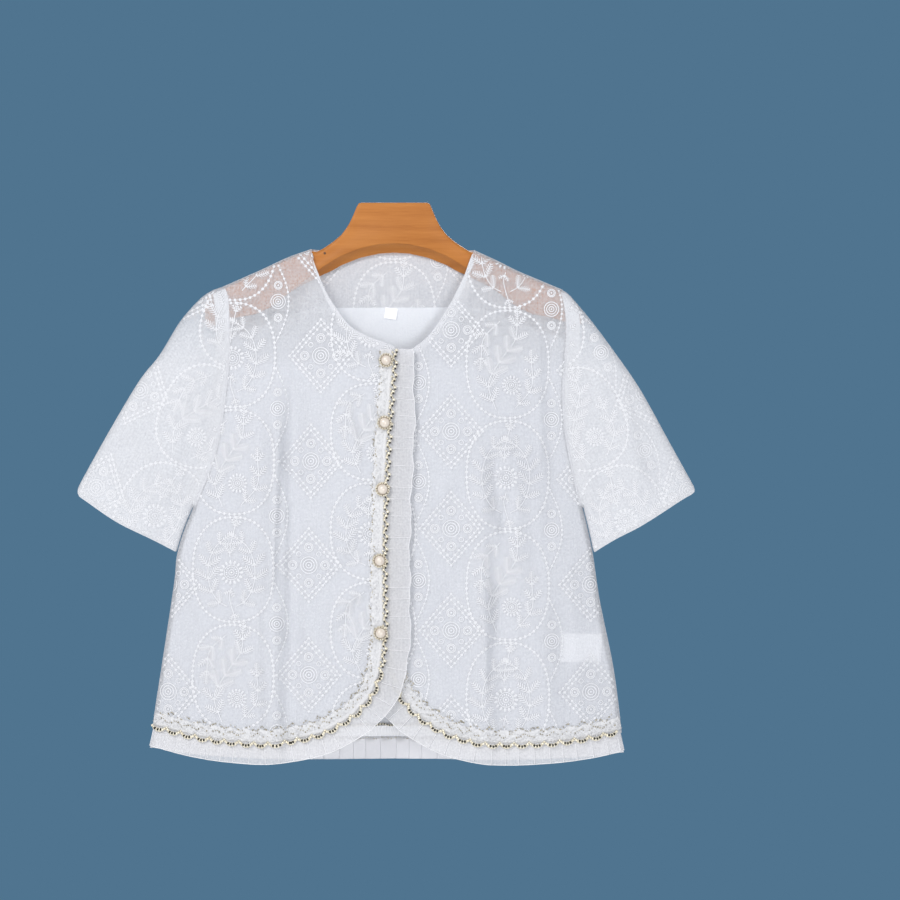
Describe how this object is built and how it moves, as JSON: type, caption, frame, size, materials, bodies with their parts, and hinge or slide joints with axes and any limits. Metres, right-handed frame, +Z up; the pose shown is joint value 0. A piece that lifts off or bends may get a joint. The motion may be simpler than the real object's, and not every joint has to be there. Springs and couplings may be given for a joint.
{
  "type": "chiffon blouse on a wooden hanger",
  "caption": "Cropped sheer blouse with short sleeves, embroidered organza, beaded braid, pleated frill and pearl buttons, hung on a plain wooden hanger.",
  "frame": {"origin": "middle of the hanger's flat top, where the hanger is held", "axes": "+Z up, the blouse's front faces -Y, +X towards the wearer's left side"},
  "size_m": [0.6465, 0.0755, 0.5906],
  "materials": {
    "wood": "honey-coloured, satin varnish",
    "organza": "sheer white organza with raised white embroidery",
    "lining": "plain thin white cloth",
    "braid": "tufted white braid with a row of small pale metal beads",
    "frill": "pleated sheer organza",
    "pearl": "lustrous ivory pearl in a ring of small beads",
    "label": "bare woven satin"
  },
  "bodies": {
    "root": {"hanger": "wood", "front_right": "organza", "front_left": "organza", "back": "organza", "sleeve_right": "organza", "sleeve_left": "organza", "facing_right": "organza", "facing_left": "organza", "lining_right": "lining", "lining_left": "lining", "lining_back": "lining", "trim_right": "braid", "trim_left": "braid", "trim_back": "braid", "frill_right": "frill", "frill_left": "frill", "frill_back": "frill", "button_1": "pearl", "button_2": "pearl", "button_3": "pearl", "button_4": "pearl", "button_5": "pearl", "size_label": "label", "care_label": "label"}
  },
  "joints": []
}
